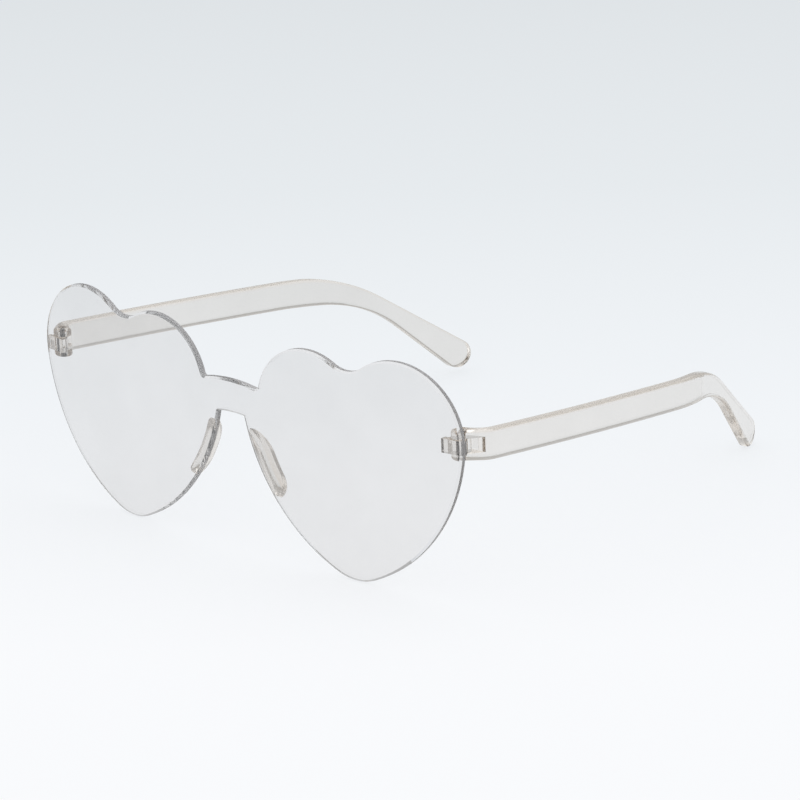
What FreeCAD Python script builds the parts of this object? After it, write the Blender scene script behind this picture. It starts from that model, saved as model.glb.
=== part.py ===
"""Heart shaped rimless sunglasses, standing open on a flat surface.

Every piece is drawn in the lens frame: X to the wearer's left, Y from the lens front to the ears, Z up,
with the heart tips at level 0 and the lens front at Y = 0 on the centre plane. Pieces on +X are drawn,
those on -X are their mirror images. At the end all are set down on the tips of the lens and of the left
temple, which is turned in a little and droops in the play of its hinge.
"""
import FreeCAD, Part
import math
import os
import Sketcher

Vector = FreeCAD.Vector
Placement = FreeCAD.Placement
Rotation = FreeCAD.Rotation

# Driving dimensions, in millimetres and degrees
SIZES = {
    # Lens sheet
    "lens_thickness": 1.7,
    "lens_curve_radius": 500.0,
    "lens_front_bevel": 0.5,
    "lens_back_ease": 0.2,
    # Heart outline, from the centre plane and from the level of the tips
    "heart_axis": 39.55,
    "lobe_level": 40.1,
    "lobe_in_offset": 13.3,
    "lobe_in_radius": 17.15,
    "lobe_out_offset": 14.7,
    "lobe_out_radius": 18.75,
    "dip_radius": 8.3,
    "side_radius": 45.7,
    "tip_radius": 15.35,
    "nose_radius": 50.1,
    # Bridge between the hearts
    "bridge_top": 43.9,
    "bridge_top_rise": 1.0,
    "notch_top": 36.0,
    "notch_top_rise": 0.3,
    "notch_half_width": 4.5,
    "bridge_corner_radius": 0.8,
    # Nose pads
    "pad_top": 33.2,
    "pad_bottom": 16.6,
    "pad_depth": 3.2,
    "pad_thickness": 3.2,
    "pad_flare_angle": 15.0,
    "pad_low_radius": 4.5,
    "pad_high_radius": 9.0,
    "pad_edge_radius": 1.0,
    "pad_end_margin": 1.0,
    # Hinge
    "hinge_inset": 3.3,
    "hinge_drop": 0.4,
    "knuckle_radius": 2.3,
    "knuckle_height": 3.6,
    "foot_thickness": 1.2,
    "foot_inner_length": 3.4,
    "foot_outer_length": 3.0,
    "lens_gap": 0.4,
    "fork_side_clearance": 0.1,
    "fork_floor_clearance": 0.35,
    "block_corner_radius": 0.25,
    # Hinge screw
    "screw_radius": 0.7,
    "screw_bore_clearance": 0.05,
    "screw_head_radius": 1.05,
    "screw_head_height": 0.7,
    "screw_head_dome": 0.15,
    "screw_head_clearance": 0.1,
    "screw_seat_wall": 1.0,
    "screw_end_inset": 0.3,
    "screw_end_chamfer": 0.2,
    "screw_slot_width": 0.35,
    "screw_slot_depth": 0.35,
    # Temple, seen from above
    "temple_offset": 4.0,
    "temple_thickness": 3.2,
    "temple_splay_angle": 2.91,
    "temple_bow_radius": 1000.0,
    "inward_lead": 8.4,
    "inward_radius": 55.6,
    "inward_angle": 17.3,
    "boss_length": 3.6,
    "boss_blend_radius": 6.0,
    "front_taper_length": 3.6,
    "front_corner_radius": 6.0,
    # Temple, seen from the side
    "temple_drop_angle": 6.44,
    "temple_height": 7.7,
    "bar_length": 90.8,
    "bend_top_radius": 51.5,
    "bend_lag": 7.0,
    "bend_bottom_radius": 40.5,
    "hook_reach": 48.0,
    "hook_fall": 27.0,
    "hook_tip_radius": 4.0,
    "temple_edge_radius": 0.9,
    # How the left temple lies in its hinge
    "left_turn_angle": 5.0,
    "left_droop_angle": 0.6,
    # Spare stock around a cut
    "stock_margin": 5.0,
}

doc = FreeCAD.newDocument("HeartSunglasses")
sheet = doc.addObject("Spreadsheet::Sheet", "Sizes")
for row, (alias, value) in enumerate(SIZES.items(), start=1):
    sheet.set(f"A{row}", alias)
    sheet.set(f"B{row}", str(value))
    sheet.setAlias(f"B{row}", alias)
doc.recompute()


def size(alias):
    """The number in the sheet's cell of that name."""
    return float(getattr(sheet, alias))


def cell(alias):
    """The sheet's cell of that name, as written in an expression."""
    return f"Sizes.{alias}"


# Plane geometry on (across, up) pairs

def meeting(first, first_distance, second, second_distance, side):
    """The point at two distances from two others, left (+1) or right (-1) of the way between them."""
    across, up = second[0] - first[0], second[1] - first[1]
    apart = math.hypot(across, up)
    along = (first_distance**2 - second_distance**2 + apart**2) / (2 * apart)
    aside = side * math.sqrt(first_distance**2 - along**2)
    return (first[0] + (along * across - aside * up) / apart,
            first[1] + (along * up + aside * across) / apart)


def on_circle(centre, radius, toward):
    """The point of a circle in the direction of another point."""
    across, up = toward[0] - centre[0], toward[1] - centre[1]
    apart = math.hypot(across, up)
    return (centre[0] + radius * across / apart, centre[1] + radius * up / apart)


def tangent(first, first_radius, second, second_radius):
    """Touch points of a line that has both circles on its right, or on its left for a negative radius."""
    across, up = second[0] - first[0], second[1] - first[1]
    lean = math.acos((first_radius - second_radius) / math.hypot(across, up))
    turn = math.atan2(up, across) + lean
    normal = (math.cos(turn), math.sin(turn))
    return (moved(first, normal, first_radius), moved(second, normal, second_radius))


def moved(point, direction, distance):
    """A point moved along a direction."""
    return (point[0] + distance * direction[0], point[1] + distance * direction[1])


# Values that follow from the driving dimensions, each with its expression on the sheet

LENS_HALF_WIDTH = size("heart_axis") + size("lobe_out_offset") + size("lobe_out_radius")
LENS_HALF_WIDTH_CELLS = f"({cell('heart_axis')} + {cell('lobe_out_offset')} + {cell('lobe_out_radius')})"
LENS_BACK_RADIUS = size("lens_curve_radius") - size("lens_thickness")
LENS_BACK_RADIUS_CELLS = f"({cell('lens_curve_radius')} - {cell('lens_thickness')})"
LENS_DEPTH = LENS_HALF_WIDTH**2 / (2 * size("lens_curve_radius")) + size("lens_thickness")
LENS_DEPTH_CELLS = (f"({LENS_HALF_WIDTH_CELLS}^2 / (2 * {cell('lens_curve_radius')})"
                    f" + {cell('lens_thickness')})")
HINGE_X = LENS_HALF_WIDTH - size("hinge_inset")
HINGE_X_CELLS = f"({LENS_HALF_WIDTH_CELLS} - {cell('hinge_inset')})"
HINGE_Y = (size("lens_curve_radius") - math.sqrt(LENS_BACK_RADIUS**2 - HINGE_X**2)
           + size("lens_gap") + size("knuckle_radius"))
HINGE_Y_CELLS = (f"({cell('lens_curve_radius')} - sqrt({LENS_BACK_RADIUS_CELLS}^2 - {HINGE_X_CELLS}^2)"
                 f" + {cell('lens_gap')} + {cell('knuckle_radius')})")
HINGE_LEVEL = size("lobe_level") - size("hinge_drop")
HINGE_LEVEL_CELLS = f"({cell('lobe_level')} - {cell('hinge_drop')})"
FORK_HALF_GAP_CELLS = f"({cell('knuckle_height')} / 2 + {cell('fork_side_clearance')})"
SCREW_SEAT = size("knuckle_height") / 2 + size("fork_side_clearance") + size("screw_seat_wall")
SCREW_SEAT_CELLS = f"({FORK_HALF_GAP_CELLS} + {cell('screw_seat_wall')})"
TEMPLE_DROP = math.radians(size("temple_drop_angle"))
HOOK_TIP = (HINGE_Y + size("bar_length") * math.cos(TEMPLE_DROP) + size("hook_reach"),
            HINGE_LEVEL - size("bar_length") * math.sin(TEMPLE_DROP) - size("hook_fall"))
HOOK_TIP_CELLS = (
    f"({HINGE_Y_CELLS} + {cell('bar_length')} * cos({cell('temple_drop_angle')}) + {cell('hook_reach')})",
    f"({HINGE_LEVEL_CELLS} - {cell('bar_length')} * sin({cell('temple_drop_angle')}) - {cell('hook_fall')})")
TEMPLE_END_Y = HOOK_TIP[0] + size("hook_tip_radius") + size("stock_margin")
TEMPLE_END_Y_CELLS = f"({HOOK_TIP_CELLS[0]} + {cell('hook_tip_radius')} + {cell('stock_margin')})"
BOW_CENTRE_Y_CELLS = f"({HINGE_Y_CELLS} + {cell('temple_bow_radius')} * sin({cell('temple_splay_angle')}))"
BOW_END_CELLS = (f"{cell('temple_splay_angle')} - ({cell('bar_length')} - {cell('inward_lead')})"
                 f" / {cell('temple_bow_radius')} * 180 / pi")

# Faces at a smaller angle to each other count as smooth, and nearer points as one
SMOOTH_ANGLE = 26.0
SMOOTH_COSINE = math.cos(math.radians(SMOOTH_ANGLE))
CLOSE = 1e-4


def lens_back_y(x):
    """Where the back of the lens lies at a distance from the centre plane."""
    return size("lens_curve_radius") - math.sqrt(LENS_BACK_RADIUS**2 - x**2)


class Piece:
    """A line or arc of a sketch, with the vertex numbers where a walk along it starts and ends."""

    def __init__(self, index, entry, leave):
        self.index = index
        self.entry = entry
        self.leave = leave


class Draft:
    """A sketch on one of its body's origin planes, drawn in place and then held by constraints."""

    CENTRE_INDEX = 3
    ORIGIN_INDEX = (-1, 1)
    UP_AXIS_INDEX = -2

    def __init__(self, body, role, name, level=None):
        self.sketch = body.newObject("Sketcher::SketchObject", name)
        plane = next(feature for feature in body.Origin.OriginFeatures if feature.Role == role)
        self.sketch.AttachmentSupport = [(plane, "")]
        self.sketch.MapMode = "FlatFace"
        if level:
            self.sketch.setExpression("AttachmentOffset.Base.z", level)

    def line(self, start, end):
        index = self.sketch.addGeometry(Part.LineSegment(Vector(*start, 0), Vector(*end, 0)))
        return Piece(index, 1, 2)

    def arc(self, centre, start, end, clockwise):
        first, last = (end, start) if clockwise else (start, end)
        first_angle = math.atan2(first[1] - centre[1], first[0] - centre[0])
        last_angle = math.atan2(last[1] - centre[1], last[0] - centre[0])
        if last_angle <= first_angle:
            last_angle += 2 * math.pi
        circle = Part.Circle(Vector(*centre, 0), Vector(0, 0, 1), math.dist(centre, start))
        index = self.sketch.addGeometry(Part.ArcOfCircle(circle, first_angle, last_angle))
        return Piece(index, 2, 1) if clockwise else Piece(index, 1, 2)

    def circle(self, centre, radius, construction=False):
        shape = Part.Circle(Vector(*centre, 0), Vector(0, 0, 1), radius)
        return Piece(self.sketch.addGeometry(shape, construction), self.CENTRE_INDEX, self.CENTRE_INDEX)

    def point(self, place):
        index = self.sketch.addGeometry(Part.Point(Vector(*place, 0)), True)
        return Piece(index, 1, 1)

    def add(self, *arguments):
        return self.sketch.addConstraint(Sketcher.Constraint(*arguments))

    def join(self, first, second, smooth=False):
        kind = "Tangent" if smooth else "Coincident"
        self.add(kind, first.index, first.leave, second.index, second.entry)

    def close(self, *pieces):
        """Join pieces end to end in a ring, at corners."""
        for first, second in zip(pieces, pieces[1:] + pieces[:1]):
            self.join(first, second)

    def bind(self, expression, *arguments):
        self.sketch.setExpression(f"Constraints[{self.add(*arguments)}]", expression)

    def radius(self, piece, expression):
        self.bind(expression, "Radius", piece.index, self.sketch.Geometry[piece.index].Radius)

    def across(self, piece, vertex, expression):
        """Hold how far a vertex lies from the upright axis, on the side where it is drawn."""
        self.place("DistanceX", piece, vertex, self.sketch.getPoint(piece.index, vertex).x, expression)

    def up(self, piece, vertex, expression):
        """Hold how far a vertex lies from the level axis, on the side where it is drawn."""
        self.place("DistanceY", piece, vertex, self.sketch.getPoint(piece.index, vertex).y, expression)

    def place(self, kind, piece, vertex, drawn, expression):
        ends = (self.ORIGIN_INDEX, (piece.index, vertex))
        if drawn < 0:
            ends = ends[::-1]
        self.bind(expression, kind, *ends[0], *ends[1], abs(drawn))

    def frame(self, low, high, low_cells, high_cells):
        """A rectangle between two corners, whose distances from the axes are expressions."""
        corners = [low, (high[0], low[1]), high, (low[0], high[1])]
        sides = [self.line(corners[k], corners[(k + 1) % 4]) for k in range(4)]
        for k in range(4):
            self.join(sides[k], sides[(k + 1) % 4])
            self.add("Horizontal" if k % 2 == 0 else "Vertical", sides[k].index)
        self.across(sides[0], 1, low_cells[0])
        self.up(sides[0], 1, low_cells[1])
        self.across(sides[1], 2, high_cells[0])
        self.up(sides[1], 2, high_cells[1])


def new_body(label):
    body = doc.addObject("PartDesign::Body", label)
    body.Label = label
    return body


def pad(body, draft, length, name):
    """Solid of a sketch, half its length to each side."""
    feature = body.newObject("PartDesign::Pad", name)
    feature.Profile = draft.sketch
    feature.SideType = "Symmetric"
    feature.setExpression("Length", length)
    doc.recompute()
    return feature


def cut_through(body, draft, name):
    """Cut a sketch right through the body, both ways."""
    before = body.Shape.Volume
    feature = body.newObject("PartDesign::Pocket", name)
    feature.Profile = draft.sketch
    feature.SideType = "Symmetric"
    feature.Type = "ThroughAll"
    doc.recompute()
    if body.Shape.Volume >= before:
        raise RuntimeError(f"{name} cuts nothing")
    return feature


def cut_up(body, draft, name):
    """Cut a level sketch upwards out of the body."""
    before = body.Shape.Volume
    feature = body.newObject("PartDesign::Pocket", name)
    feature.Profile = draft.sketch
    feature.Type = "ThroughAll"
    feature.Reversed = True
    doc.recompute()
    if body.Shape.Volume >= before:
        raise RuntimeError(f"{name} cuts nothing")
    return feature


def ease(body, kind, edges, property_name, expression, name):
    """Fillet or chamfer the listed edges of the body's last feature."""
    base = body.Tip
    feature = body.newObject(f"PartDesign::{kind}", name)
    feature.Base = (base, edges)
    feature.setExpression(property_name, expression)
    doc.recompute()
    return feature


def edge_names(shape, wanted):
    """Names of the edges for which a test on the edge holds."""
    return [f"Edge{number}" for number, edge in enumerate(shape.Edges, start=1) if wanted(edge)]


def middle(edge):
    return edge.valueAt((edge.FirstParameter + edge.LastParameter) / 2)


def sharp_edges(shape, wanted):
    """Names of the edges where two faces meet at a real corner, and for which a test holds."""
    names = []
    for number, edge in enumerate(shape.Edges, start=1):
        faces = shape.ancestorsOfType(edge, Part.Face)
        if len(faces) < 2 or not wanted(edge, faces):
            continue
        point = middle(edge)
        normals = [face.normalAt(*face.Surface.parameter(point)) for face in faces[:2]]
        if abs(normals[0].dot(normals[1])) < SMOOTH_COSINE:
            names.append(f"Edge{number}")
    return names


def is_sheet_face(face):
    """Whether a face is one of the large curved faces of the lens sheet, or lies on one."""
    surface = face.Surface
    if surface.TypeId != "Part::GeomCylinder":
        return False
    return surface.Radius > LENS_HALF_WIDTH and abs(surface.Axis.z) > SMOOTH_COSINE


def is_upright(edge):
    return edge.Curve.TypeId == "Part::GeomLine" and abs(edge.Curve.Direction.z) > SMOOTH_COSINE


# Lens sheet: two hearts and a bridge, cut from a curved sheet

def heart_outline(draft):
    """Half of the outline on the sketch of the front view, closed along the centre plane."""
    inner = (size("heart_axis") - size("lobe_in_offset"), size("lobe_level"))
    outer = (size("heart_axis") + size("lobe_out_offset"), size("lobe_level"))
    tip = (size("heart_axis"), size("tip_radius"))
    notch = (size("notch_half_width"), size("notch_top"))
    dip = meeting(inner, size("lobe_in_radius") + size("dip_radius"),
                  outer, size("lobe_out_radius") + size("dip_radius"), +1)
    side = meeting(outer, size("side_radius") - size("lobe_out_radius"),
                   tip, size("side_radius") - size("tip_radius"), -1)
    nose = nose_arc_centre()
    bridge_up = size("bridge_top") - size("lobe_level")
    shoulder = (inner[0] - math.sqrt(size("lobe_in_radius")**2 - bridge_up**2), size("bridge_top"))
    crown = (0, size("bridge_top") + size("bridge_top_rise"))
    saddle = (0, size("notch_top") + size("notch_top_rise"))
    crown_centre = arch_centre(shoulder, crown)
    saddle_centre = arch_centre(notch, saddle)
    dip_start = on_circle(inner, size("lobe_in_radius"), dip)
    dip_end = on_circle(outer, size("lobe_out_radius"), dip)
    side_start = on_circle(side, size("side_radius"), outer)
    side_end = on_circle(side, size("side_radius"), tip)
    nose_start = on_circle(nose, size("nose_radius"), tip)

    bridge_top = draft.arc(crown_centre, crown, shoulder, True)
    inner_lobe = draft.arc(inner, shoulder, dip_start, True)
    dip_arc = draft.arc(dip, dip_start, dip_end, False)
    outer_lobe = draft.arc(outer, dip_end, side_start, True)
    side_arc = draft.arc(side, side_start, side_end, True)
    tip_arc = draft.arc(tip, side_end, nose_start, True)
    nose_arc = draft.arc(nose, nose_start, notch, True)
    bridge_bottom = draft.arc(saddle_centre, notch, saddle, False)
    centre_line = draft.line(saddle, crown)

    draft.join(bridge_top, inner_lobe)
    for first, second in zip((inner_lobe, dip_arc, outer_lobe, side_arc, tip_arc),
                             (dip_arc, outer_lobe, side_arc, tip_arc, nose_arc)):
        draft.join(first, second, smooth=True)
    draft.join(nose_arc, bridge_bottom)
    draft.join(bridge_bottom, centre_line)
    draft.join(centre_line, bridge_top)
    draft.add("PointOnObject", centre_line.index, 1, draft.UP_AXIS_INDEX)
    draft.add("PointOnObject", centre_line.index, 2, draft.UP_AXIS_INDEX)
    for arch in (bridge_top, bridge_bottom):
        draft.add("PointOnObject", arch.index, draft.CENTRE_INDEX, draft.UP_AXIS_INDEX)
    for lobe, offset in ((inner_lobe, f"- {cell('lobe_in_offset')}"),
                         (outer_lobe, f"+ {cell('lobe_out_offset')}")):
        draft.across(lobe, draft.CENTRE_INDEX, f"{cell('heart_axis')} {offset}")
        draft.up(lobe, draft.CENTRE_INDEX, cell("lobe_level"))
    draft.across(tip_arc, draft.CENTRE_INDEX, cell("heart_axis"))
    draft.up(tip_arc, draft.CENTRE_INDEX, cell("tip_radius"))
    for arc, alias in ((inner_lobe, "lobe_in_radius"), (dip_arc, "dip_radius"),
                       (outer_lobe, "lobe_out_radius"), (side_arc, "side_radius"),
                       (tip_arc, "tip_radius"), (nose_arc, "nose_radius")):
        draft.radius(arc, cell(alias))
    draft.up(bridge_top, bridge_top.leave, cell("bridge_top"))
    draft.up(centre_line, 2, f"{cell('bridge_top')} + {cell('bridge_top_rise')}")
    draft.across(nose_arc, nose_arc.leave, cell("notch_half_width"))
    draft.up(nose_arc, nose_arc.leave, cell("notch_top"))
    draft.up(centre_line, 1, f"{cell('notch_top')} + {cell('notch_top_rise')}")
    return shoulder, notch


def arch_centre(end, crown):
    """Centre, on the centre plane, of an arch through its end and its crown."""
    rise = crown[1] - end[1]
    return (0, crown[1] - (end[0]**2 + rise**2) / (2 * rise))


def nose_arc_centre():
    """Centre of the nose edge, which leaves the tip smoothly and ends at the corner of the notch."""
    tip = (size("heart_axis"), size("tip_radius"))
    notch = (size("notch_half_width"), size("notch_top"))
    return meeting(tip, size("nose_radius") - size("tip_radius"), notch, size("nose_radius"), -1)


def lens_shield():
    body = new_body("lens_shield")
    outline = Draft(body, "XZ_Plane", "heart_outline")
    shoulder, notch = heart_outline(outline)
    half = pad(body, outline, f"2 * ({LENS_DEPTH_CELLS} + {cell('stock_margin')})", "heart_prism")
    mirror = body.newObject("PartDesign::Mirrored", "both_hearts")
    mirror.Originals = [half]
    side_plane = next(feature for feature in body.Origin.OriginFeatures if feature.Role == "YZ_Plane")
    mirror.MirrorPlane = (side_plane, [""])
    body.Tip = mirror
    doc.recompute()

    band = Draft(body, "XY_Plane", "sheet_section")
    margin = size("stock_margin")
    reach = LENS_HALF_WIDTH + margin / 2
    reach_cells = f"({LENS_HALF_WIDTH_CELLS} + {cell('stock_margin')} / 2)"
    curve_centre = (0, size("lens_curve_radius"))
    front_y = size("lens_curve_radius") - math.sqrt(size("lens_curve_radius")**2 - reach**2)
    back_y = lens_back_y(reach)
    front = band.arc(curve_centre, (-reach, front_y), (reach, front_y), False)
    far_end = band.line((reach, front_y), (reach, back_y))
    back = band.arc(curve_centre, (reach, back_y), (-reach, back_y), True)
    near_end = band.line((-reach, back_y), (-reach, front_y))
    band.close(front, far_end, back, near_end)
    for arc, expression in ((front, cell("lens_curve_radius")), (back, LENS_BACK_RADIUS_CELLS)):
        band.add("PointOnObject", arc.index, band.CENTRE_INDEX, band.UP_AXIS_INDEX)
        band.up(arc, band.CENTRE_INDEX, cell("lens_curve_radius"))
        band.radius(arc, expression)
        for vertex in (1, 2):
            band.across(arc, vertex, reach_cells)
    wide_cells = f"{LENS_HALF_WIDTH_CELLS} + {cell('stock_margin')}"
    deep = 2 * (LENS_DEPTH + margin)
    deep_cells = f"2 * ({LENS_DEPTH_CELLS} + {cell('stock_margin')})"
    band.frame((-LENS_HALF_WIDTH - margin, -deep), (LENS_HALF_WIDTH + margin, deep),
               (wide_cells, deep_cells), (wide_cells, deep_cells))
    cut_through(body, band, "curved_sheet")

    corners = [(sign * x, z) for sign in (1, -1) for x, z in (shoulder, notch)]

    def at_corner(edge):
        point = middle(edge)
        straight = edge.Curve.TypeId == "Part::GeomLine"
        return straight and any(math.dist((point.x, point.z), corner) < CLOSE for corner in corners)

    ease(body, "Fillet", edge_names(body.Shape, at_corner), "Radius", cell("bridge_corner_radius"),
         "bridge_corners")

    def on_sheet_face(radius):
        def test(edge, faces):
            return any(is_sheet_face(face) and abs(face.Surface.Radius - radius) < CLOSE for face in faces)
        return test

    for radius, alias, name in ((size("lens_curve_radius"), "lens_front_bevel", "front_bevel"),
                                (LENS_BACK_RADIUS, "lens_back_ease", "back_ease")):
        ease(body, "Chamfer", sharp_edges(body.Shape, on_sheet_face(radius)), "Size", cell(alias), name)
    return body


# Nose pads: soft cushions that continue the nose edge backwards and outwards

def nose_pad():
    body = new_body("nose_pad_left")
    centre = nose_arc_centre()
    margin = size("pad_end_margin")
    ends = []
    for radius in (size("nose_radius"), size("nose_radius") - size("pad_thickness")):
        for level in (size("pad_bottom") - margin, size("pad_top") + margin):
            ends.append((centre[0] - math.sqrt(radius**2 - (level - centre[1])**2), level))
    nose_low, nose_high, far_low, far_high = ends

    strip = Draft(body, "XZ_Plane", "nose_strip", f"-{cell('lens_thickness')}")
    nose_edge = strip.arc(centre, nose_low, nose_high, True)
    high_end = strip.line(nose_high, far_high)
    far_edge = strip.arc(centre, far_high, far_low, False)
    low_end = strip.line(far_low, nose_low)
    strip.close(nose_edge, high_end, far_edge, low_end)
    strip.add("Coincident", nose_edge.index, strip.CENTRE_INDEX, far_edge.index, strip.CENTRE_INDEX)
    strip.radius(nose_edge, cell("nose_radius"))
    strip.radius(far_edge, f"{cell('nose_radius')} - {cell('pad_thickness')}")
    for end, expression in ((high_end, f"{cell('pad_top')} + {cell('pad_end_margin')}"),
                            (low_end, f"{cell('pad_bottom')} - {cell('pad_end_margin')}")):
        strip.add("Horizontal", end.index)
        strip.up(end, 1, expression)
    tip_circle = strip.circle((size("heart_axis"), size("tip_radius")), size("tip_radius"), construction=True)
    strip.across(tip_circle, strip.CENTRE_INDEX, cell("heart_axis"))
    strip.up(tip_circle, strip.CENTRE_INDEX, cell("tip_radius"))
    strip.radius(tip_circle, cell("tip_radius"))
    strip.add("Tangent", nose_edge.index, tip_circle.index)
    corner = strip.point((size("notch_half_width"), size("notch_top")))
    strip.across(corner, 1, cell("notch_half_width"))
    strip.up(corner, 1, cell("notch_top"))
    strip.add("PointOnObject", corner.index, 1, nose_edge.index)
    wing = body.newObject("PartDesign::Pad", "flared_wing")
    wing.Profile = strip.sketch
    wing.UseCustomVector = True
    wing.AlongSketchNormal = False
    wing.setExpression("Direction.x", f"sin({cell('pad_flare_angle')})")
    wing.setExpression("Direction.y", f"cos({cell('pad_flare_angle')})")
    wing.setExpression("Direction.z", "0")
    wing.setExpression("Length", f"{cell('pad_depth')} + {cell('stock_margin')}")
    doc.recompute()

    leaf = Draft(body, "YZ_Plane", "side_view")
    sheet_back = size("lens_thickness")
    back = sheet_back + size("pad_depth")
    back_cells = f"{cell('lens_thickness')} + {cell('pad_depth')}"
    rounding, sweep = size("pad_low_radius"), size("pad_high_radius")
    low, high = size("pad_bottom"), size("pad_top")
    sweep_y = back - sweep
    sweep_z = high - math.sqrt(sweep**2 - (sheet_back - sweep_y)**2)
    top_z = sweep_z + math.sqrt(sweep**2 - sweep_y**2)
    bottom = leaf.line((0, low), (back - rounding, low))
    low_corner = leaf.arc((back - rounding, low + rounding), (back - rounding, low),
                          (back, low + rounding), False)
    rear = leaf.line((back, low + rounding), (back, sweep_z))
    high_sweep = leaf.arc((sweep_y, sweep_z), (back, sweep_z), (0, top_z), False)
    front = leaf.line((0, top_z), (0, low))
    for first, second in ((bottom, low_corner), (low_corner, rear), (rear, high_sweep)):
        leaf.join(first, second, smooth=True)
    leaf.join(high_sweep, front)
    leaf.join(front, bottom)
    leaf.add("Vertical", rear.index)
    leaf.add("Horizontal", bottom.index)
    leaf.add("PointOnObject", front.index, 1, leaf.UP_AXIS_INDEX)
    leaf.add("PointOnObject", front.index, 2, leaf.UP_AXIS_INDEX)
    leaf.up(front, 2, cell("pad_bottom"))
    leaf.across(rear, 1, back_cells)
    leaf.radius(low_corner, cell("pad_low_radius"))
    leaf.radius(high_sweep, cell("pad_high_radius"))
    sweep_end = leaf.point((sheet_back, high))
    leaf.across(sweep_end, 1, cell("lens_thickness"))
    leaf.up(sweep_end, 1, cell("pad_top"))
    leaf.add("PointOnObject", sweep_end.index, 1, high_sweep.index)
    far = 2 * (back + size("stock_margin"))
    far_cells = f"2 * ({back_cells} + {cell('stock_margin')})"
    stock = size("stock_margin")
    leaf.frame((-stock, low - stock), (far, high + stock),
               (cell("stock_margin"), f"{cell('pad_bottom')} - {cell('stock_margin')}"),
               (far_cells, f"{cell('pad_top')} + {cell('stock_margin')}"))
    cut_through(body, leaf, "rounded_leaf")
    seat_on_lens(body)

    def free(edge, faces):
        return not any(is_sheet_face(face) for face in faces)

    ease(body, "Fillet", sharp_edges(body.Shape, free), "Radius", cell("pad_edge_radius"), "soft_edges")
    return body


def seat_on_lens(body):
    """Cut away all that lies in front of the back of the lens."""
    seat = Draft(body, "XY_Plane", "lens_seat")
    reach = LENS_HALF_WIDTH
    back_y = lens_back_y(reach)
    front_y = size("stock_margin")
    curve_centre = (0, size("lens_curve_radius"))
    back = seat.arc(curve_centre, (0, size("lens_thickness")), (reach, back_y), False)
    outer_end = seat.line((reach, back_y), (reach, -front_y))
    front = seat.line((reach, -front_y), (0, -front_y))
    inner_end = seat.line((0, -front_y), (0, size("lens_thickness")))
    seat.close(back, outer_end, front, inner_end)
    seat.add("PointOnObject", back.index, seat.CENTRE_INDEX, seat.UP_AXIS_INDEX)
    seat.up(back, seat.CENTRE_INDEX, cell("lens_curve_radius"))
    seat.radius(back, LENS_BACK_RADIUS_CELLS)
    seat.add("PointOnObject", inner_end.index, 1, seat.UP_AXIS_INDEX)
    seat.add("PointOnObject", inner_end.index, 2, seat.UP_AXIS_INDEX)
    seat.add("Vertical", outer_end.index)
    seat.add("Horizontal", front.index)
    seat.across(outer_end, 1, LENS_HALF_WIDTH_CELLS)
    seat.up(front, 1, cell("stock_margin"))
    cut_through(body, seat, "seat_cut")


# Hinge blocks: a foot on the back of the lens and one knuckle between the fork's ears

def hinge_block():
    body = new_body("hinge_block_left")
    plan = Draft(body, "XY_Plane", "block_plan", HINGE_LEVEL_CELLS)
    inner_x = HINGE_X - size("foot_inner_length")
    outer_x = HINGE_X + size("foot_outer_length")
    radius = size("knuckle_radius")
    curve_centre = (0, size("lens_curve_radius"))
    hinge = (HINGE_X, HINGE_Y)
    step_y = lens_back_y(HINGE_X) + size("foot_thickness")
    near_x, far_x = HINGE_X - radius, HINGE_X + radius
    seat = plan.arc(curve_centre, (inner_x, lens_back_y(inner_x)), (outer_x, lens_back_y(outer_x)), False)
    outer_end = plan.line((outer_x, lens_back_y(outer_x)), (outer_x, step_y))
    outer_step = plan.line((outer_x, step_y), (far_x, step_y))
    far_side = plan.line((far_x, step_y), (far_x, HINGE_Y))
    knuckle = plan.arc(hinge, (far_x, HINGE_Y), (near_x, HINGE_Y), False)
    near_side = plan.line((near_x, HINGE_Y), (near_x, step_y))
    inner_step = plan.line((near_x, step_y), (inner_x, step_y))
    inner_end = plan.line((inner_x, step_y), (inner_x, lens_back_y(inner_x)))
    for first, second in ((seat, outer_end), (outer_end, outer_step), (outer_step, far_side),
                          (near_side, inner_step), (inner_step, inner_end), (inner_end, seat)):
        plan.join(first, second)
    plan.join(far_side, knuckle, smooth=True)
    plan.join(knuckle, near_side, smooth=True)
    for upright in (outer_end, far_side, near_side, inner_end):
        plan.add("Vertical", upright.index)
    step_cells = f"{HINGE_Y_CELLS} - {cell('knuckle_radius')} - {cell('lens_gap')} + {cell('foot_thickness')}"
    for level in (outer_step, inner_step):
        plan.add("Horizontal", level.index)
        plan.up(level, 1, step_cells)
    plan.add("PointOnObject", seat.index, plan.CENTRE_INDEX, plan.UP_AXIS_INDEX)
    plan.up(seat, plan.CENTRE_INDEX, cell("lens_curve_radius"))
    plan.radius(seat, LENS_BACK_RADIUS_CELLS)
    plan.across(inner_end, 1, f"{HINGE_X_CELLS} - {cell('foot_inner_length')}")
    plan.across(outer_end, 1, f"{HINGE_X_CELLS} + {cell('foot_outer_length')}")
    plan.across(knuckle, plan.CENTRE_INDEX, HINGE_X_CELLS)
    plan.up(knuckle, plan.CENTRE_INDEX, HINGE_Y_CELLS)
    plan.radius(knuckle, cell("knuckle_radius"))
    pad(body, plan, cell("knuckle_height"), "block")
    bore = hinge_circle(body, "pin_bore", f"{cell('screw_radius')} + {cell('screw_bore_clearance')}",
                        size("screw_radius") + size("screw_bore_clearance"))
    cut_through(body, bore, "pin_hole")

    def free_upright(edge, faces):
        return is_upright(edge) and not any(is_sheet_face(face) for face in faces)

    ease(body, "Fillet", sharp_edges(body.Shape, free_upright), "Radius", cell("block_corner_radius"),
         "block_corners")
    return body


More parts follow.
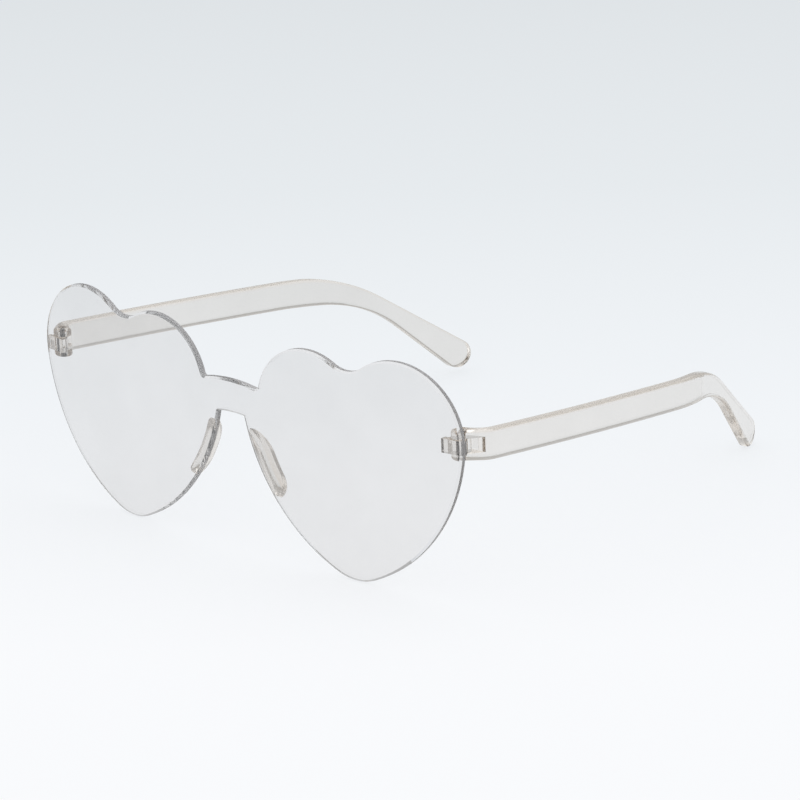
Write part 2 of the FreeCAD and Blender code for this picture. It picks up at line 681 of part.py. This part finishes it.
def hinge_circle(body, name, expression, radius, level=None):
    """A circle about the hinge axis, on a level sketch."""
    draft = Draft(body, "XY_Plane", name, level)
    circle = draft.circle((HINGE_X, HINGE_Y), radius)
    draft.across(circle, draft.CENTRE_INDEX, HINGE_X_CELLS)
    draft.up(circle, draft.CENTRE_INDEX, HINGE_Y_CELLS)
    draft.radius(circle, expression)
    return draft


# Temples: a bowed bar with a forked front end and an ear hook

def temple_plan(body):
    """The temple seen from above: outer face, end, inner face, boss and barrel."""
    half = size("temple_thickness") / 2
    bow, bend = size("temple_bow_radius"), size("inward_radius")
    splay = math.radians(size("temple_splay_angle"))
    bow_end = splay - (size("bar_length") - size("inward_lead")) / bow
    tail = -math.radians(size("inward_angle"))
    hinge = (HINGE_X, HINGE_Y)

    def inward(angle):
        return (-math.cos(angle), math.sin(angle))

    bow_centre = moved((HINGE_X + size("temple_offset"), HINGE_Y), inward(splay), bow)
    bend_centre = moved(bow_centre, inward(bow_end), bend - bow)
    bend_end = moved(bend_centre, inward(tail), -bend)
    tail_length = (TEMPLE_END_Y - bend_end[1]) / math.cos(tail)
    tail_end = moved(bend_end, (math.sin(tail), math.cos(tail)), tail_length)

    def on_bow(radius, y):
        return (bow_centre[0] + math.sqrt(radius**2 - (y - bow_centre[1])**2), y)

    front_corner = on_bow(bow + half, HINGE_Y + size("front_taper_length"))
    boss_end = on_bow(bow - half, HINGE_Y + size("boss_length"))
    boss_touch = tangent(boss_end, 0, hinge, -size("knuckle_radius"))[1]
    front_touch = tangent(hinge, -size("knuckle_radius"), front_corner, 0)[0]

    plan = Draft(body, "XY_Plane", "temple_plan")
    faces = {}
    for name, aside in (("outer", -half), ("inner", half)):
        stations = [moved(bow_centre, inward(bow_end), aside - bow),
                    moved(bend_end, inward(tail), aside), moved(tail_end, inward(tail), aside)]
        if name == "outer":
            faces[name] = [plan.arc(bow_centre, front_corner, stations[0], False),
                           plan.arc(bend_centre, stations[0], stations[1], False),
                           plan.line(stations[1], stations[2])]
        else:
            faces[name] = [plan.line(stations[2], stations[1]),
                           plan.arc(bend_centre, stations[1], stations[0], True),
                           plan.arc(bow_centre, stations[0], boss_end, True)]
        for first, second in zip(faces[name], faces[name][1:]):
            plan.join(first, second, smooth=True)
    outer_bow, outer_bend, outer_tail = faces["outer"]
    inner_tail, inner_bend, inner_bow = faces["inner"]
    end_face = plan.line(moved(tail_end, inward(tail), -half), moved(tail_end, inward(tail), half))
    boss = plan.line(boss_end, boss_touch)
    barrel = plan.arc(hinge, boss_touch, front_touch, False)
    front = plan.line(front_touch, front_corner)
    plan.join(boss, barrel, smooth=True)
    plan.join(barrel, front, smooth=True)
    for first, second in ((outer_tail, end_face), (end_face, inner_tail),
                          (inner_bow, boss), (front, outer_bow)):
        plan.join(first, second)
    for first, second in ((outer_bow, inner_bow), (outer_bend, inner_bend)):
        plan.add("Coincident", first.index, plan.CENTRE_INDEX, second.index, plan.CENTRE_INDEX)
    plan.add("Perpendicular", outer_tail.index, end_face.index)
    plan.add("Parallel", outer_tail.index, inner_tail.index)
    half_cells = f"{cell('temple_thickness')} / 2"
    plan.across(outer_bow, plan.CENTRE_INDEX,
                f"{cell('temple_bow_radius')} * cos({cell('temple_splay_angle')})"
                f" - {HINGE_X_CELLS} - {cell('temple_offset')}")
    plan.up(outer_bow, plan.CENTRE_INDEX, BOW_CENTRE_Y_CELLS)
    for arc, alias, side in ((outer_bow, "temple_bow_radius", "+"), (inner_bow, "temple_bow_radius", "-"),
                             (outer_bend, "inward_radius", "+")):
        plan.radius(arc, f"{cell(alias)} {side} {half_cells}")
    plan.up(outer_bow, outer_bow.leave,
            f"{BOW_CENTRE_Y_CELLS} - ({cell('temple_bow_radius')} + {half_cells}) * sin({BOW_END_CELLS})")
    plan.bind(f"90 + {cell('inward_angle')}", "Angle", outer_tail.index, math.pi / 2 - tail)
    plan.across(barrel, plan.CENTRE_INDEX, HINGE_X_CELLS)
    plan.up(barrel, plan.CENTRE_INDEX, HINGE_Y_CELLS)
    plan.radius(barrel, cell("knuckle_radius"))
    plan.up(boss, 1, f"{HINGE_Y_CELLS} + {cell('boss_length')}")
    plan.up(front, 2, f"{HINGE_Y_CELLS} + {cell('front_taper_length')}")
    plan.up(outer_tail, 2, f"{TEMPLE_END_Y_CELLS} + {half_cells} * sin({cell('inward_angle')})")
    return plan, front_corner, boss_end


def temple_side(body):
    """The temple seen from the side, inside a frame: what lies between the two is cut away."""
    along = (math.cos(TEMPLE_DROP), -math.sin(TEMPLE_DROP))
    upward = (math.sin(TEMPLE_DROP), math.cos(TEMPLE_DROP))
    half = size("temple_height") / 2
    hinge = (HINGE_Y, HINGE_LEVEL)
    lag_length = size("bar_length") + size("bend_lag")
    front_length = size("knuckle_radius") + size("stock_margin") / 2
    bar_top, bar_bottom = moved(hinge, upward, half), moved(hinge, upward, -half)
    top_front, bottom_front = moved(bar_top, along, -front_length), moved(bar_bottom, along, -front_length)
    top_end, bottom_end = moved(bar_top, along, size("bar_length")), moved(bar_bottom, along, lag_length)
    top_centre = moved(top_end, upward, -size("bend_top_radius"))
    bottom_centre = moved(bottom_end, upward, -size("bend_bottom_radius"))
    top_leave, tip_top = tangent(top_centre, size("bend_top_radius"), HOOK_TIP, size("hook_tip_radius"))
    bottom_leave, tip_bottom = tangent(bottom_centre, size("bend_bottom_radius"), HOOK_TIP,
                                       -size("hook_tip_radius"))

    view = Draft(body, "YZ_Plane", "temple_side")
    top = view.line(top_front, top_end)
    top_bend = view.arc(top_centre, top_end, top_leave, True)
    top_hook = view.line(top_leave, tip_top)
    tip = view.arc(HOOK_TIP, tip_top, tip_bottom, True)
    bottom_hook = view.line(tip_bottom, bottom_leave)
    bottom_bend = view.arc(bottom_centre, bottom_leave, bottom_end, False)
    bottom = view.line(bottom_end, bottom_front)
    front = view.line(bottom_front, top_front)
    for first, second in ((top, top_bend), (top_bend, top_hook), (top_hook, tip), (tip, bottom_hook),
                          (bottom_hook, bottom_bend), (bottom_bend, bottom)):
        view.join(first, second, smooth=True)
    view.join(bottom, front)
    view.join(front, top)
    cosine, sine = f"cos({cell('temple_drop_angle')})", f"sin({cell('temple_drop_angle')})"
    half_cells = f"{cell('temple_height')} / 2"
    front_cells = f"({cell('knuckle_radius')} + {cell('stock_margin')} / 2)"
    lag_cells = f"({cell('bar_length')} + {cell('bend_lag')})"
    for piece, vertex, side, run in ((top, 1, "+", f"-{front_cells}"), (top, 2, "+", cell("bar_length")),
                                     (bottom, 1, "-", lag_cells), (bottom, 2, "-", f"-{front_cells}")):
        view.across(piece, vertex, f"{HINGE_Y_CELLS} {side} {half_cells} * {sine} + {run} * {cosine}")
        view.up(piece, vertex, f"{HINGE_LEVEL_CELLS} {side} {half_cells} * {cosine} - {run} * {sine}")
    view.radius(top_bend, cell("bend_top_radius"))
    view.radius(bottom_bend, cell("bend_bottom_radius"))
    view.radius(tip, cell("hook_tip_radius"))
    view.across(tip, view.CENTRE_INDEX, HOOK_TIP_CELLS[0])
    view.up(tip, view.CENTRE_INDEX, HOOK_TIP_CELLS[1])
    stock = size("stock_margin")
    tall, tall_cells = 2 * (HINGE_LEVEL + stock), f"2 * ({HINGE_LEVEL_CELLS} + {cell('stock_margin')})"
    view.frame((-stock, -tall), (TEMPLE_END_Y + stock, tall), (cell("stock_margin"), tall_cells),
               (f"{TEMPLE_END_Y_CELLS} + {cell('stock_margin')}", tall_cells))
    return view


def temple(label):
    body = new_body(label)
    plan, front_corner, boss_end = temple_plan(body)
    pad(body, plan, f"2 * ({HINGE_LEVEL_CELLS} + {cell('temple_height')})", "plan_block")
    cut_through(body, temple_side(body), "side_view_cut")

    def upright_at(corner):
        def test(edge):
            point = middle(edge)
            return is_upright(edge) and math.dist((point.x, point.y), corner) < CLOSE
        return test

    for corner, alias, name in ((boss_end, "boss_blend_radius", "boss_blend"),
                                (front_corner, "front_corner_radius", "front_corner")):
        ease(body, "Fillet", edge_names(body.Shape, upright_at(corner)), "Radius", cell(alias), name)

    def not_upright(edge, faces):
        return not is_upright(edge)

    ease(body, "Fillet", sharp_edges(body.Shape, not_upright), "Radius", cell("temple_edge_radius"),
         "soft_edges")

    slot = Draft(body, "YZ_Plane", "fork_slot")
    front_y = HINGE_Y - size("knuckle_radius") - size("stock_margin") / 2
    floor_y = HINGE_Y + size("knuckle_radius") + size("fork_floor_clearance")
    gap = size("knuckle_height") / 2 + size("fork_side_clearance")
    slot.frame((front_y, HINGE_LEVEL - gap), (floor_y, HINGE_LEVEL + gap),
               (f"{HINGE_Y_CELLS} - {cell('knuckle_radius')} - {cell('stock_margin')} / 2",
                f"{HINGE_LEVEL_CELLS} - {FORK_HALF_GAP_CELLS}"),
               (f"{HINGE_Y_CELLS} + {cell('knuckle_radius')} + {cell('fork_floor_clearance')}",
                f"{HINGE_LEVEL_CELLS} + {FORK_HALF_GAP_CELLS}"))
    cut_through(body, slot, "fork")
    thread = hinge_circle(body, "thread_bore", cell("screw_radius"), size("screw_radius"))
    cut_through(body, thread, "thread_hole")
    shank = hinge_circle(body, "shank_bore", f"{cell('screw_radius')} + {cell('screw_bore_clearance')}",
                         size("screw_radius") + size("screw_bore_clearance"), HINGE_LEVEL_CELLS)
    cut_up(body, shank, "shank_hole")
    seat = hinge_circle(body, "head_seat", f"{cell('screw_head_radius')} + {cell('screw_head_clearance')}",
                        size("screw_head_radius") + size("screw_head_clearance"),
                        f"{HINGE_LEVEL_CELLS} + {SCREW_SEAT_CELLS}")
    cut_up(body, seat, "head_recess")
    return body


# Hinge screws, about their own axis with the middle of the knuckle at the origin

def hinge_screw(label):
    body = new_body(label)
    shank, head = size("screw_radius"), size("screw_head_radius")
    end = size("temple_height") / 2 - size("screw_end_inset")
    end_cells = f"({cell('temple_height')} / 2 - {cell('screw_end_inset')})"
    chamfer = size("screw_end_chamfer")
    top = SCREW_SEAT + size("screw_head_height")
    top_cells = f"({SCREW_SEAT_CELLS} + {cell('screw_head_height')})"
    rim = top - size("screw_head_dome")
    dome_radius = (head**2 + size("screw_head_dome")**2) / (2 * size("screw_head_dome"))
    profile = Draft(body, "XZ_Plane", "screw_profile")
    end_face = profile.line((0, -end), (shank - chamfer, -end))
    end_cone = profile.line((shank - chamfer, -end), (shank, chamfer - end))
    shank_side = profile.line((shank, chamfer - end), (shank, SCREW_SEAT))
    underside = profile.line((shank, SCREW_SEAT), (head, SCREW_SEAT))
    head_side = profile.line((head, SCREW_SEAT), (head, rim))
    dome = profile.arc((0, top - dome_radius), (head, rim), (0, top), False)
    axis = profile.line((0, top), (0, -end))
    profile.close(end_face, end_cone, shank_side, underside, head_side, dome, axis)
    for level in (end_face, underside):
        profile.add("Horizontal", level.index)
    for upright in (shank_side, head_side):
        profile.add("Vertical", upright.index)
    for vertex in (1, 2):
        profile.add("PointOnObject", axis.index, vertex, profile.UP_AXIS_INDEX)
    profile.add("PointOnObject", dome.index, profile.CENTRE_INDEX, profile.UP_AXIS_INDEX)
    profile.up(end_face, 1, end_cells)
    profile.across(end_face, 2, f"{cell('screw_radius')} - {cell('screw_end_chamfer')}")
    profile.across(shank_side, 1, cell("screw_radius"))
    profile.up(shank_side, 1, f"{end_cells} - {cell('screw_end_chamfer')}")
    profile.up(underside, 1, SCREW_SEAT_CELLS)
    profile.across(head_side, 1, cell("screw_head_radius"))
    profile.up(head_side, 2, f"{top_cells} - {cell('screw_head_dome')}")
    profile.up(axis, 1, top_cells)
    turned = body.newObject("PartDesign::Revolution", "turned_screw")
    turned.Profile = profile.sketch
    turned.ReferenceAxis = (profile.sketch, ["V_Axis"])
    turned.Angle = 360
    doc.recompute()
    slot = Draft(body, "XZ_Plane", "driver_slot")
    half, half_cells = size("screw_slot_width") / 2, f"{cell('screw_slot_width')} / 2"
    slot.frame((-half, top - size("screw_slot_depth")), (half, top + size("screw_slot_depth")),
               (half_cells, f"{top_cells} - {cell('screw_slot_depth')}"),
               (half_cells, f"{top_cells} + {cell('screw_slot_depth')}"))
    cut_through(body, slot, "driver_slot_cut")
    return body


def mirrored(source, label, plane_x):
    """The same piece for the other side of an upright plane."""
    copy = doc.addObject("Part::Mirroring", label)
    copy.Label = label
    copy.Source = source
    copy.Normal = Vector(1, 0, 0)
    copy.Base = Vector(plane_x, 0, 0)
    return copy


def leaning_box(shape, lean):
    """Box of a shape that leans back with the lens by an angle in degrees."""
    leaning = shape.copy()
    leaning.Placement = Placement(Vector(), Rotation(Vector(1, 0, 0), -lean)).multiply(shape.Placement)
    return leaning.optimalBoundingBox(False)


def resting_lean(lens, arm):
    """How far, in degrees, the lens leans back when the tips of lens and temple touch one level."""

    def gap(angle):
        return leaning_box(arm, angle).ZMin - leaning_box(lens, angle).ZMin

    last, angle = 0.0, 1.0
    last_gap, angle_gap = gap(last), gap(angle)
    while abs(angle_gap) > CLOSE:
        step = angle_gap * (angle - last) / (angle_gap - last_gap)
        last, last_gap = angle, angle_gap
        angle -= step
        angle_gap = gap(angle)
    return angle


lens = lens_shield()
pad_piece, block = nose_pad(), hinge_block()
left_arm, open_arm = temple("temple_left"), temple("open_temple")
left_screw, open_screw = hinge_screw("hinge_screw_left"), hinge_screw("open_screw")

# The left temple lies turned in about its hinge and droops in its play; the right one lies open
hinge = Vector(HINGE_X, HINGE_Y, HINGE_LEVEL)
far_hinge = Vector(-HINGE_X, HINGE_Y, HINGE_LEVEL)
at_hinge = Placement(hinge, Rotation())
turned_in = Rotation(Vector(0, 0, 1), size("left_turn_angle"))
drooped = Rotation(Vector(1, 0, 0), -size("left_droop_angle"))
slack = Placement(Vector(), drooped.multiply(turned_in), hinge)
resting_arm = left_arm.Shape.copy()
resting_arm.Placement = slack
lean = resting_lean(lens.Shape, resting_arm)
lens_box = leaning_box(lens.Shape, lean)
left_box = leaning_box(resting_arm, lean)
open_box = leaning_box(open_arm.Shape, lean)
middle_x = (max(lens_box.XMax, left_box.XMax) - max(lens_box.XMax, open_box.XMax)) / 2
middle_y = (lens_box.YMin + max(left_box.YMax, open_box.YMax)) / 2
rest = Placement(Vector(-middle_x, -middle_y, -lens_box.ZMin), Rotation(Vector(1, 0, 0), -lean))
for piece in (lens, pad_piece, block, open_arm):
    piece.Placement = rest
open_screw.Placement = rest.multiply(at_hinge)
left_arm.Placement = rest.multiply(slack)
left_screw.Placement = rest.multiply(slack).multiply(at_hinge)
pieces = [lens, pad_piece, block, left_arm, left_screw]
for source, label in ((pad_piece, "nose_pad_right"), (block, "hinge_block_right"),
                      (open_arm, "temple_right"), (open_screw, "hinge_screw_right")):
    pieces.append(mirrored(source, label, -middle_x))
doc.recompute()

for obj in doc.Objects:
    if "Invalid" in obj.State or "Error" in obj.State:
        raise RuntimeError(f"{obj.Name} is {obj.State}")
for piece in pieces:
    if piece.Shape.isNull() or not piece.Shape.isValid() or len(piece.Shape.Solids) != 1:
        raise RuntimeError(f"{piece.Label} has no valid single solid")

os.makedirs("parts", exist_ok=True)
for piece in pieces:
    piece.Shape.exportStep(f"parts/{piece.Label}.step")
    print(piece.Label, round(piece.Shape.Volume, 2))
axis_direction = rest.Rotation.multVec(Vector(0, 0, 1))
print("lean", round(lean, 4), "left hinge at", rest.multVec(hinge), "right hinge at", rest.multVec(far_hinge),
      "along", axis_direction)
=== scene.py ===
"""Heart shaped sunglasses in clear plastic on a pale studio floor."""
import math

import bpy
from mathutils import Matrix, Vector

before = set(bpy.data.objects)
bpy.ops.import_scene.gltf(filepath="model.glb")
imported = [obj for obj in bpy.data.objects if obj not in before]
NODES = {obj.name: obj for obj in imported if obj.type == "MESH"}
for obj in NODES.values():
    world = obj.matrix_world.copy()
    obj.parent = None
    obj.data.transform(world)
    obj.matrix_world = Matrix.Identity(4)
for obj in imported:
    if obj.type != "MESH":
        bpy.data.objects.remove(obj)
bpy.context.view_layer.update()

# Camera, fitted to the photograph: place in metres, turn in degrees, lens in millimetres
CAMERA_PLACE = (0.727276, -0.784042, 0.355488)
CAMERA_TURN = (72.6208, 1.3745, 42.9131)
CAMERA_LENS = 192.015
CAMERA_CLIP = 0.01
SENSOR_WIDTH = 36.0

# Light runs far inside the clear sheet before it leaves at an edge
LIGHT_BOUNCES = 48

# Floor: painted light falloff, from near white in front to pale blue-grey far behind, along the camera's
# heading
FLOOR_HALF = 6.0
FLOOR_DROP = 0.0002
FLOOR_NEAR = -0.30
FLOOR_FAR = 0.70
FLOOR_GLOW = 0.85
FLOOR_HEADING = math.radians(CAMERA_TURN[2])
FLOOR_PAINTED_FALLOFF = (
    (0.17, (0.947, 0.956, 0.973)),
    (0.38, (0.871, 0.896, 0.922)),
    (0.60, (0.791, 0.823, 0.847)),
    (0.92, (0.735, 0.766, 0.789)),
)

# World: studio light from above, with a dimmer room around
ROOM_LEVEL = 0.95
ROOM_STOPS = (
    (0.00, (0.48, 0.48, 0.48)),
    (0.30, (0.64, 0.65, 0.66)),
    (0.60, (1.07, 1.09, 1.11)),
)

# Soft box: places and size in metres, power in watts
SOFTBOX_PLACE = (-0.3, 0.5, 1.6)
SOFTBOX_TARGET = (0.0, 0.0, 0.0)
SOFTBOX_SIZE = 1.6
SOFTBOX_POWER = 4.0

# Noises: scale in cycles per metre, detail, roughness
SMUDGE_NOISE = (60.0, 4.0, 0.6)
SCUFF_NOISE = (900.0, 6.0, 0.7)
WAVE_NOISE = (140.0, 1.0, 0.4)
GRIME_NOISE = (1500.0, 4.0, 0.6)

# Clear plastic: ranges are given as low, high, from low, from high
PLASTIC_IOR = 1.49
SCUFF_GLOSS = (0.0, 0.06, 0.45, 0.85)

# The lens sheet, more satin at its cut edge, with painted shade darkening its colour there
LENS_BODY = (0.40, 0.40, 0.40)
LENS_DENSITY = 10.0
LENS_TINT = ((0.35, (0.864, 0.856, 0.850)), (0.65, (0.889, 0.880, 0.874)))
LENS_EDGE_PAINTED_SHADE = ((0.40, (0.66, 0.64, 0.64)), (0.55, (1.0, 1.0, 1.0)))
LENS_SATIN = (0.40, 0.0, 0.40, 0.60)
LENS_WAVE = 1.0e-6

# The moulded pieces, more satin on their tops and undersides, with a warm painted shade in their colour
# there
MOULDED_BODY = (0.45, 0.33, 0.20)
MOULDED_DENSITY = 8.0
MOULDED_TINT = ((0.35, (0.856, 0.834, 0.806)), (0.65, (0.886, 0.863, 0.835)))
MOULDED_PAINTED_WARM_SHADE = ((0.25, (1.0, 1.0, 1.0)), (0.60, (0.97, 0.92, 0.86)))
MOULDED_SATIN = (0.0, 0.16, 0.25, 0.60)
MOULDED_WAVE = 3.0e-6

# The screws
STEEL_TINT = ((0.3, (0.10, 0.10, 0.105)), (0.7, (0.24, 0.24, 0.245)))
STEEL_GLOSS = (0.22, 0.4)


def set_input(node, name, value):
    """Set an input socket's own value."""
    node.inputs[name].default_value = value


def link(tree, out_node, out_name, in_node, in_name):
    """Join an output socket to an input socket."""
    tree.links.new(out_node.outputs[out_name], in_node.inputs[in_name])


def new_material(name):
    """An empty node material and its output node."""
    material = bpy.data.materials.new(name)
    material.use_nodes = True
    tree = material.node_tree
    tree.nodes.clear()
    output = tree.nodes.new("ShaderNodeOutputMaterial")
    return material, tree, output


def ramp(tree, stops):
    """A colour ramp with the given (position, colour) stops."""
    node = tree.nodes.new("ShaderNodeValToRGB")
    elements = node.color_ramp.elements
    while len(elements) < len(stops):
        elements.new(0.5)
    for element, (position, colour) in zip(elements, stops):
        element.position = position
        element.color = (*colour, 1.0)
    return node


def noise(tree, coordinates, scale, detail, roughness):
    """Noise at a scale in cycles per metre, in object coordinates."""
    node = tree.nodes.new("ShaderNodeTexNoise")
    set_input(node, "Scale", scale)
    set_input(node, "Detail", detail)
    set_input(node, "Roughness", roughness)
    link(tree, coordinates, "Object", node, "Vector")
    return node


def map_range(tree, source, source_name, low, high, from_low=0.0, from_high=1.0):
    """Map a value from one range to another."""
    node = tree.nodes.new("ShaderNodeMapRange")
    set_input(node, "From Min", from_low)
    set_input(node, "From Max", from_high)
    set_input(node, "To Min", low)
    set_input(node, "To Max", high)
    link(tree, source, source_name, node, "Value")
    return node


def math_node(tree, operation):
    """A maths node with the given operation."""
    node = tree.nodes.new("ShaderNodeMath")
    node.operation = operation
    return node


def clear_plastic(name, absorption, density, tint, facing, painted_shades, satin, waviness):
    """Polished clear plastic with faint moulding waves and fine scuffs in the gloss.

    The body takes a little light. Faces get painted shade in their colour, and are made more satin, by how
    far their normals lie along the facing axis.
    """
    material, tree, output = new_material(name)
    shader = tree.nodes.new("ShaderNodeBsdfPrincipled")
    set_input(shader, "IOR", PLASTIC_IOR)
    set_input(shader, "Transmission Weight", 1.0)
    place = tree.nodes.new("ShaderNodeTexCoord")

    smudge = noise(tree, place, *SMUDGE_NOISE)
    colour = ramp(tree, tint)
    link(tree, smudge, "Fac", colour, "Fac")
    parts = tree.nodes.new("ShaderNodeSeparateXYZ")
    link(tree, place, "Normal", parts, "Vector")
    along = math_node(tree, "ABSOLUTE")
    link(tree, parts, facing, along, 0)
    # Painted shade: the colour is darkened and warmed by how the normal lies along the facing axis
    painted_shade = ramp(tree, painted_shades)
    link(tree, along, "Value", painted_shade, "Fac")
    both = tree.nodes.new("ShaderNodeVectorMath")
    both.operation = "MULTIPLY"
    link(tree, colour, "Color", both, 0)
    link(tree, painted_shade, "Color", both, 1)
    link(tree, both, "Vector", shader, "Base Color")

    scuff = noise(tree, place, *SCUFF_NOISE)
    gloss = map_range(tree, scuff, "Fac", *SCUFF_GLOSS)
    blur = map_range(tree, along, "Value", *satin)
    rough = math_node(tree, "ADD")
    link(tree, gloss, "Result", rough, 0)
    link(tree, blur, "Result", rough, 1)
    link(tree, rough, "Value", shader, "Roughness")

    wave = noise(tree, place, *WAVE_NOISE)
    bump = tree.nodes.new("ShaderNodeBump")
    set_input(bump, "Strength", 1.0)
    set_input(bump, "Distance", waviness)
    link(tree, wave, "Fac", bump, "Height")
    link(tree, bump, "Normal", shader, "Normal")

    body = tree.nodes.new("ShaderNodeVolumeAbsorption")
    set_input(body, "Color", (*absorption, 1.0))
    set_input(body, "Density", density)
    link(tree, shader, "BSDF", output, "Surface")
    link(tree, body, "Volume", output, "Volume")
    return material


def dark_steel(name):
    """Dark screw steel with a fine mottled gloss."""
    material, tree, output = new_material(name)
    shader = tree.nodes.new("ShaderNodeBsdfPrincipled")
    set_input(shader, "Metallic", 1.0)
    place = tree.nodes.new("ShaderNodeTexCoord")
    grime = noise(tree, place, *GRIME_NOISE)
    colour = ramp(tree, STEEL_TINT)
    link(tree, grime, "Fac", colour, "Fac")
    link(tree, colour, "Color", shader, "Base Color")
    gloss = map_range(tree, grime, "Fac", *STEEL_GLOSS)
    link(tree, gloss, "Result", shader, "Roughness")
    link(tree, shader, "BSDF", output, "Surface")
    return material


def pale_floor(name):
    """A matt pale floor with painted light falloff: its colour darkens gently towards the back."""
    material, tree, output = new_material(name)
    shader = tree.nodes.new("ShaderNodeBsdfDiffuse")
    place = tree.nodes.new("ShaderNodeTexCoord")
    turn = tree.nodes.new("ShaderNodeMapping")
    turn.vector_type = "POINT"
    set_input(turn, "Rotation", (0.0, 0.0, -FLOOR_HEADING))
    link(tree, place, "Object", turn, "Vector")
    parts = tree.nodes.new("ShaderNodeSeparateXYZ")
    link(tree, turn, "Vector", parts, "Vector")
    share = map_range(tree, parts, "Y", 0.0, 1.0, FLOOR_NEAR, FLOOR_FAR)
    # Painted light falloff: the floor colour darkens towards the back
    colour = ramp(tree, FLOOR_PAINTED_FALLOFF)
    link(tree, share, "Result", colour, "Fac")
    link(tree, colour, "Color", shader, "Color")

    # Seen by the camera, in gloss or through plastic, most of it is an even pale field
    # The rest of it keeps the shadow
    glow = tree.nodes.new("ShaderNodeEmission")
    link(tree, colour, "Color", glow, "Color")
    path = tree.nodes.new("ShaderNodeLightPath")
    seen = math_node(tree, "MAXIMUM")
    link(tree, path, "Is Camera Ray", seen, 0)
    link(tree, path, "Is Glossy Ray", seen, 1)
    seen_through = math_node(tree, "MAXIMUM")
    link(tree, seen, "Value", seen_through, 0)
    link(tree, path, "Is Transmission Ray", seen_through, 1)
    part = math_node(tree, "MULTIPLY")
    link(tree, seen_through, "Value", part, 0)
    set_input(part, 1, FLOOR_GLOW)
    mix = tree.nodes.new("ShaderNodeMixShader")
    link(tree, part, "Value", mix, 0)
    link(tree, shader, "BSDF", mix, 1)
    link(tree, glow, "Emission", mix, 2)
    link(tree, mix, "Shader", output, "Surface")
    return material


def studio_world(name):
    """Light from all around, by height above the floor."""
    world = bpy.data.worlds.new(name)
    world.use_nodes = True
    tree = world.node_tree
    tree.nodes.clear()
    sky = tree.nodes.new("ShaderNodeBackground")
    output = tree.nodes.new("ShaderNodeOutputWorld")
    around = tree.nodes.new("ShaderNodeTexCoord")
    height = tree.nodes.new("ShaderNodeSeparateXYZ")
    link(tree, around, "Generated", height, "Vector")
    room = ramp(tree, ROOM_STOPS)
    link(tree, height, "Z", room, "Fac")
    link(tree, room, "Color", sky, "Color")
    set_input(sky, "Strength", ROOM_LEVEL)
    link(tree, sky, "Background", output, "Surface")
    return world


def dress(material, *names):
    """Give CAD nodes a material."""
    for name in names:
        mesh = NODES[name].data
        mesh.materials.clear()
        mesh.materials.append(material)


scene = bpy.context.scene

# The pieces
lens = clear_plastic("lens_clear", LENS_BODY, LENS_DENSITY, LENS_TINT, "Y", LENS_EDGE_PAINTED_SHADE,
                     LENS_SATIN, LENS_WAVE)
moulded = clear_plastic("moulded_clear", MOULDED_BODY, MOULDED_DENSITY, MOULDED_TINT, "Z", MOULDED_PAINTED_WARM_SHADE,
                        MOULDED_SATIN, MOULDED_WAVE)
steel = dark_steel("screw_steel")
dress(lens, "lens_shield")
dress(moulded, "nose_pad_left", "nose_pad_right", "hinge_block_left", "hinge_block_right",
      "temple_left", "temple_right")
dress(steel, "hinge_screw_left", "hinge_screw_right")

# Floor
floor_mesh = bpy.data.meshes.new("floor")
corners = [(x * FLOOR_HALF, y * FLOOR_HALF, 0.0) for x, y in ((-1, -1), (1, -1), (1, 1), (-1, 1))]
floor_mesh.from_pydata(corners, [], [(0, 1, 2, 3)])
floor = bpy.data.objects.new("floor", floor_mesh)
floor.location = (0.0, 0.0, -FLOOR_DROP)
scene.collection.objects.link(floor)
floor_mesh.materials.append(pale_floor("floor_pale"))

# Light
scene.world = studio_world("studio")
lamp = bpy.data.lights.new("softbox_top", "AREA")
lamp.shape = "SQUARE"
lamp.size = SOFTBOX_SIZE
lamp.energy = SOFTBOX_POWER
softbox = bpy.data.objects.new("softbox_top", lamp)
softbox.location = SOFTBOX_PLACE
aim = Vector(SOFTBOX_TARGET) - Vector(SOFTBOX_PLACE)
softbox.rotation_mode = "QUATERNION"
softbox.rotation_quaternion = aim.to_track_quat("-Z", "Y")
scene.collection.objects.link(softbox)

# Camera
camera_data = bpy.data.cameras.new("camera")
camera_data.sensor_width = SENSOR_WIDTH
camera_data.lens = CAMERA_LENS
camera_data.clip_start = CAMERA_CLIP
camera = bpy.data.objects.new("camera", camera_data)
camera.location = CAMERA_PLACE
camera.rotation_euler = [math.radians(a) for a in CAMERA_TURN]
scene.collection.objects.link(camera)
scene.camera = camera

scene.view_settings.view_transform = "Standard"
scene.cycles.max_bounces = LIGHT_BOUNCES
scene.cycles.transmission_bounces = LIGHT_BOUNCES
scene.cycles.glossy_bounces = LIGHT_BOUNCES
